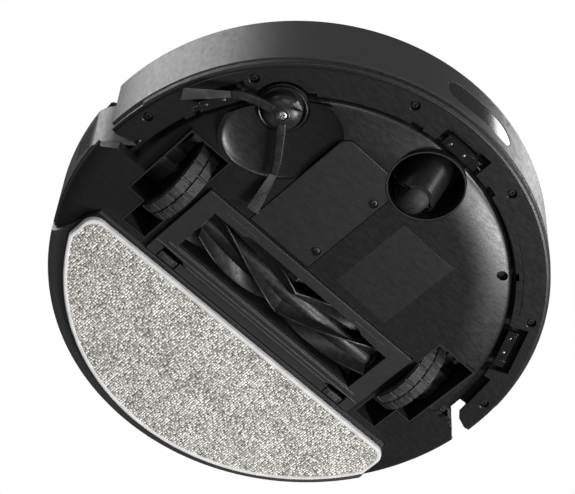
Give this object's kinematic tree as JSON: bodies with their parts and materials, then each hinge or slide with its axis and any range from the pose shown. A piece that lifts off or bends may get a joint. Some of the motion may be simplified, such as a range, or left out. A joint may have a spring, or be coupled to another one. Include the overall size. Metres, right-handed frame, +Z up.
{
  "type": "robot vacuum",
  "caption": "Round low robot vacuum and mop: front bumper, laser turret, bladed main brush, side brush, swivel caster and a half-round rear mop cloth.",
  "frame": {"origin": "on the floor below the centre of the round body", "axes": "+Z up, +Y towards the bumper (the way it drives), +X to the robot's right"},
  "size_m": [0.35, 0.35, 0.097],
  "materials": {
    "body": "fine-grained satin black ABS",
    "bumper": "satin charcoal paint-grade plastic",
    "gloss": "smooth semi-gloss black",
    "inner": "moulded dark plastic",
    "rubber": "soft black rubber",
    "tyre": "dark grey moulded tyre rubber with lugs",
    "fabric": "grey melange looped microfibre",
    "steel": "bright zinc-plated steel",
    "board": "green solder-masked board",
    "cell": "shrink-wrapped cells",
    "clear": "smoked transparent plastic",
    "bristle": "bundled nylon bristle"
  },
  "bodies": {
    "chassis": {"base_plate": "body", "brush_bearing_right": "body", "brush_bearing_left": "body", "battery_cover": "body", "side_shell": "bumper", "top_cover": "gloss", "drop_sensor_front": "gloss", "drop_sensor_right": "gloss", "drop_sensor_left": "gloss", "turret_cover": "gloss", "top_deck": "inner", "wheel_housing_right": "inner", "wheel_housing_left": "inner", "brush_chamber": "inner", "brush_motor": "inner", "caster_socket": "inner", "side_brush_motor": "inner", "fan_housing": "inner", "turret_base": "inner", "battery_cover_screw_1": "steel", "battery_cover_screw_2": "steel", "main_board": "board", "battery_pack": "cell"},
    "bumper": {"bumper_shell": "bumper", "bumper_flange": "body", "bumper_strip": "rubber", "bumper_window": "clear"},
    "suspension_right": {"suspension_arm_right": "inner", "suspension_spring_right": "steel"},
    "suspension_left": {"suspension_arm_left": "inner", "suspension_spring_left": "steel"},
    "wheel_right": {"wheel_hub_right": "body", "tyre_right": "tyre"},
    "wheel_left": {"wheel_hub_left": "body", "tyre_left": "tyre"},
    "main_brush": {"main_brush_sleeve": "rubber", "main_brush_core": "inner"},
    "brush_guard": {"brush_guard": "body"},
    "guard_latch_right": {"guard_latch_right": "body"},
    "guard_latch_left": {"guard_latch_left": "body"},
    "caster_swivel": {"caster_fork": "body", "caster_axle": "steel"},
    "caster_roller": {"caster_wheel": "rubber"},
    "side_brush": {"side_brush_hub": "rubber", "side_brush_bristles_1": "bristle", "side_brush_bristles_2": "bristle", "side_brush_screw": "steel"},
    "fan": {"fan_impeller": "body"},
    "rear_module": {"module_shell": "body", "dust_box": "clear", "dust_lid": "body", "dust_filter": "fabric", "water_tank": "clear"},
    "release_button": {"release_button": "gloss"},
    "mop": {"mop_bracket": "body", "mop_pad": "fabric"},
    "laser_head": {"laser_head": "inner"},
    "power_button": {"power_button": "gloss"},
    "home_button": {"home_button": "gloss"}
  },
  "joints": [
    {"name": "bumper_press", "type": "slide", "parent": "chassis", "child": "bumper", "axis": [0, -1, 0], "range_m": [0, 0.004], "stiffness_N_per_m": 400, "springref_m": -0.003},
    {"name": "suspension_droop_right", "type": "hinge", "parent": "chassis", "child": "suspension_right", "pos_m": [0.1288, 0.028, 0.037], "axis": [1, 0, 0], "range_deg": [0, 28], "stiffness_Nm_per_rad": 0.12, "springref_deg": 57.3},
    {"name": "suspension_droop_left", "type": "hinge", "parent": "chassis", "child": "suspension_left", "pos_m": [-0.1288, 0.028, 0.037], "axis": [1, 0, 0], "range_deg": [0, 28], "stiffness_Nm_per_rad": 0.12, "springref_deg": 57.3},
    {"name": "wheel_spin_right", "type": "hinge", "parent": "suspension_right", "child": "wheel_right", "pos_m": [0.1116, -0.003, 0.0335], "axis": [1, 0, 0], "continuous": true},
    {"name": "wheel_spin_left", "type": "hinge", "parent": "suspension_left", "child": "wheel_left", "pos_m": [-0.1116, -0.003, 0.0335], "axis": [1, 0, 0], "continuous": true},
    {"name": "main_brush_spin", "type": "hinge", "parent": "chassis", "child": "main_brush", "pos_m": [0, -0.0125, 0.021], "axis": [1, 0, 0], "continuous": true},
    {"name": "guard_lift_off", "type": "slide", "parent": "chassis", "child": "brush_guard", "axis": [0, 0, -1], "range_m": [0, 0.03]},
    {"name": "guard_latch_press_right", "type": "slide", "parent": "brush_guard", "child": "guard_latch_right", "axis": [0, 1, 0], "range_m": [0, 0.003], "stiffness_N_per_m": 300, "springref_m": -0.002},
    {"name": "guard_latch_press_left", "type": "slide", "parent": "brush_guard", "child": "guard_latch_left", "axis": [0, 1, 0], "range_m": [0, 0.003], "stiffness_N_per_m": 300, "springref_m": -0.002},
    {"name": "caster_swivel_turn", "type": "hinge", "parent": "chassis", "child": "caster_swivel", "pos_m": [-0.0015, 0.121, 0.04], "axis": [0, 0, 1], "continuous": true},
    {"name": "caster_roller_spin", "type": "hinge", "parent": "caster_swivel", "child": "caster_roller", "pos_m": [-0.0015, 0.11, 0.0135], "axis": [1, 0, 0], "continuous": true},
    {"name": "side_brush_spin", "type": "hinge", "parent": "chassis", "child": "side_brush", "pos_m": [0.1055, 0.0925, 0.01], "axis": [0, 0, 1], "continuous": true},
    {"name": "fan_spin", "type": "hinge", "parent": "chassis", "child": "fan", "pos_m": [-0.045, 0.071, 0.03], "axis": [0, 0, 1], "continuous": true},
    {"name": "module_pull_out", "type": "slide", "parent": "chassis", "child": "rear_module", "axis": [0, -1, 0], "range_m": [0, 0.14]},
    {"name": "release_button_press", "type": "slide", "parent": "rear_module", "child": "release_button", "axis": [0, 1, 0], "range_m": [0, 0.002], "stiffness_N_per_m": 300, "springref_m": -0.002},
    {"name": "mop_take_off", "type": "slide", "parent": "rear_module", "child": "mop", "axis": [0, 0, -1], "range_m": [0, 0.03]},
    {"name": "laser_head_spin", "type": "hinge", "parent": "chassis", "child": "laser_head", "pos_m": [0, -0.028, 0.085], "axis": [0, 0, 1], "continuous": true},
    {"name": "power_button_press", "type": "slide", "parent": "chassis", "child": "power_button", "axis": [0, 0, -1], "range_m": [0, 0.0012], "stiffness_N_per_m": 500, "springref_m": -0.001},
    {"name": "home_button_press", "type": "slide", "parent": "chassis", "child": "home_button", "axis": [0, 0, -1], "range_m": [0, 0.0012], "stiffness_N_per_m": 500, "springref_m": -0.001}
  ]
}
